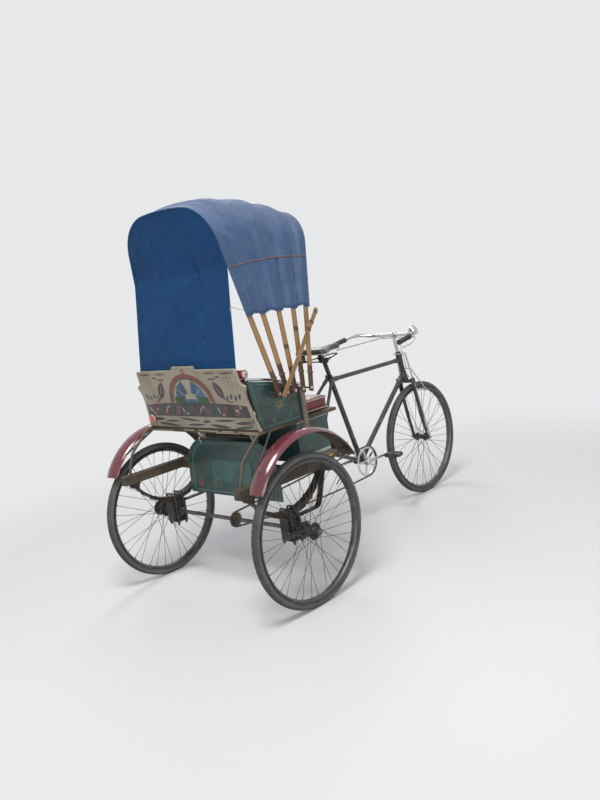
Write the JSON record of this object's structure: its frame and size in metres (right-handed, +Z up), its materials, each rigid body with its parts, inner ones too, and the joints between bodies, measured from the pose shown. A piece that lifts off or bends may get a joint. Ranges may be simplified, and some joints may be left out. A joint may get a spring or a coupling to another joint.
{
  "type": "cycle rickshaw",
  "caption": "Three-wheeled pedal rickshaw with roadster front end, sprung bench seat body, maroon fenders, bamboo-hooped folding cloth hood.",
  "frame": {"origin": "on the ground under the middle of the vehicle", "axes": "+X forward, +Y to the rider's left, +Z up"},
  "size_m": [2.3909, 1.21, 1.903],
  "materials": {
    "tyre_rubber": "matte black bicycle tyre",
    "rim_steel": "dull plated steel",
    "hub_steel": "greasy dark steel",
    "axle_steel": "oiled steel",
    "frame_black": "worn black enamel",
    "chassis_black": "dusty black paint",
    "chrome": "bright plating",
    "chain_steel": "oiled chain",
    "grip_rubber": "ribbed rubber",
    "saddle_leather": "dark worn leather",
    "spring_steel": "dark spring steel",
    "timber": "timber with ochre paint on its ends",
    "bamboo": "varnished split bamboo",
    "body_paint": "dark teal enamel on tin and board",
    "cream_paint": "cream enamel with painted ornament",
    "fender_paint": "maroon enamel",
    "seat_vinyl": "quilted vinyl",
    "hood_cloth": "blue tarpaulin cloth"
  },
  "bodies": {
    "chassis": {"chain": "chain_steel", "bicycle_frame": "frame_black", "saddle_frame": "spring_steel", "saddle": "saddle_leather", "leaf_springs": "spring_steel", "spring_hangers": "chassis_black", "axle_blocks": "chassis_black", "spring_clamps": "chassis_black", "timber_frame": "timber", "chassis_rails": "chassis_black", "footboard": "timber", "seat_box": "body_paint", "seat_board": "timber", "tail_panel": "body_paint", "seat_back_board": "cream_paint", "side_panels": "body_paint", "armrest_rails": "chrome", "seat_cushion": "seat_vinyl", "back_cushion": "seat_vinyl", "fenders": "fender_paint", "seat_posts": "timber", "corner_struts": "bamboo", "radius_straps": "chassis_black", "hood_brackets": "axle_steel"},
    "steering": {"front_fork": "frame_black", "handlebar": "chrome", "handlebar_grips": "grip_rubber", "bell": "chrome", "front_brake": "chrome"},
    "front_wheel": {"tyre_front": "tyre_rubber", "rim_front": "rim_steel", "spoked_hub_front": "hub_steel"},
    "rear_axle_and_left_wheel": {"rear_axle": "axle_steel", "rear_sprocket": "chain_steel", "tyre_left": "tyre_rubber", "rim_left": "rim_steel", "spoked_hub_left": "hub_steel"},
    "right_wheel": {"tyre_right": "tyre_rubber", "rim_right": "rim_steel", "spoked_hub_right": "hub_steel"},
    "cranks": {"crankset": "chrome"},
    "left_pedal": {"pedal_left": "grip_rubber"},
    "right_pedal": {"pedal_right": "grip_rubber"},
    "rear_hoop": {"hood_hoop_1": "bamboo", "hood_cover": "hood_cloth", "rear_curtain": "hood_cloth"},
    "hoop_2": {"hood_hoop_2": "bamboo"},
    "hoop_3": {"hood_hoop_3": "bamboo"},
    "hoop_4": {"hood_hoop_4": "bamboo"},
    "hoop_5": {"hood_hoop_5": "bamboo", "hood_braces": "bamboo"}
  },
  "joints": [
    {"name": "steering_turn", "type": "hinge", "parent": "chassis", "child": "steering", "pos_m": [0.83179, 0, 0.3555], "axis": [-0.225, 0, 0.9744], "range_deg": [-60, 60]},
    {"name": "front_wheel_spin", "type": "hinge", "parent": "steering", "child": "front_wheel", "pos_m": [0.84, 0, 0.3555], "axis": [0, 1, 0], "continuous": true},
    {"name": "rear_axle_spin", "type": "hinge", "parent": "chassis", "child": "rear_axle_and_left_wheel", "pos_m": [-0.84, 0, 0.3555], "axis": [0, 1, 0], "continuous": true},
    {"name": "right_wheel_spin", "type": "hinge", "parent": "chassis", "child": "right_wheel", "pos_m": [-0.84, -0.535, 0.3555], "axis": [0, 1, 0], "continuous": true},
    {"name": "crank_spin", "type": "hinge", "parent": "chassis", "child": "cranks", "pos_m": [0.215, 0, 0.365], "axis": [0, 1, 0], "continuous": true},
    {"name": "left_pedal_spin", "type": "hinge", "parent": "cranks", "child": "left_pedal", "pos_m": [0.05, 0.11, 0.365], "axis": [0, 1, 0], "continuous": true},
    {"name": "right_pedal_spin", "type": "hinge", "parent": "cranks", "child": "right_pedal", "pos_m": [0.38, -0.11, 0.365], "axis": [0, 1, 0], "continuous": true},
    {"name": "hood_fold", "type": "hinge", "parent": "chassis", "child": "rear_hoop", "pos_m": [-0.805, 0, 0.98], "axis": [0, -1, 0], "range_deg": [0, 90], "deforming": ["hood_cover", "rear_curtain"]},
    {"name": "hoop_2_fold", "type": "hinge", "parent": "chassis", "child": "hoop_2", "pos_m": [-0.769, 0, 0.98], "axis": [0, -1, 0], "range_deg": [0, 92.25]},
    {"name": "hoop_3_fold", "type": "hinge", "parent": "chassis", "child": "hoop_3", "pos_m": [-0.733, 0, 0.98], "axis": [0, -1, 0], "range_deg": [0, 97]},
    {"name": "hoop_4_fold", "type": "hinge", "parent": "chassis", "child": "hoop_4", "pos_m": [-0.697, 0, 0.98], "axis": [0, -1, 0], "range_deg": [0, 100.75]},
    {"name": "hoop_5_fold", "type": "hinge", "parent": "chassis", "child": "hoop_5", "pos_m": [-0.661, 0, 0.98], "axis": [0, -1, 0], "range_deg": [0, 102.5]}
  ],
  "couplings": [
    {"joint": "hoop_2_fold", "follows": "hood_fold", "ratio": 1.0194},
    {"joint": "hoop_3_fold", "follows": "hood_fold", "ratio": 1.0722},
    {"joint": "hoop_4_fold", "follows": "hood_fold", "ratio": 1.1139},
    {"joint": "hoop_5_fold", "follows": "hood_fold", "ratio": 1.1333}
  ]
}
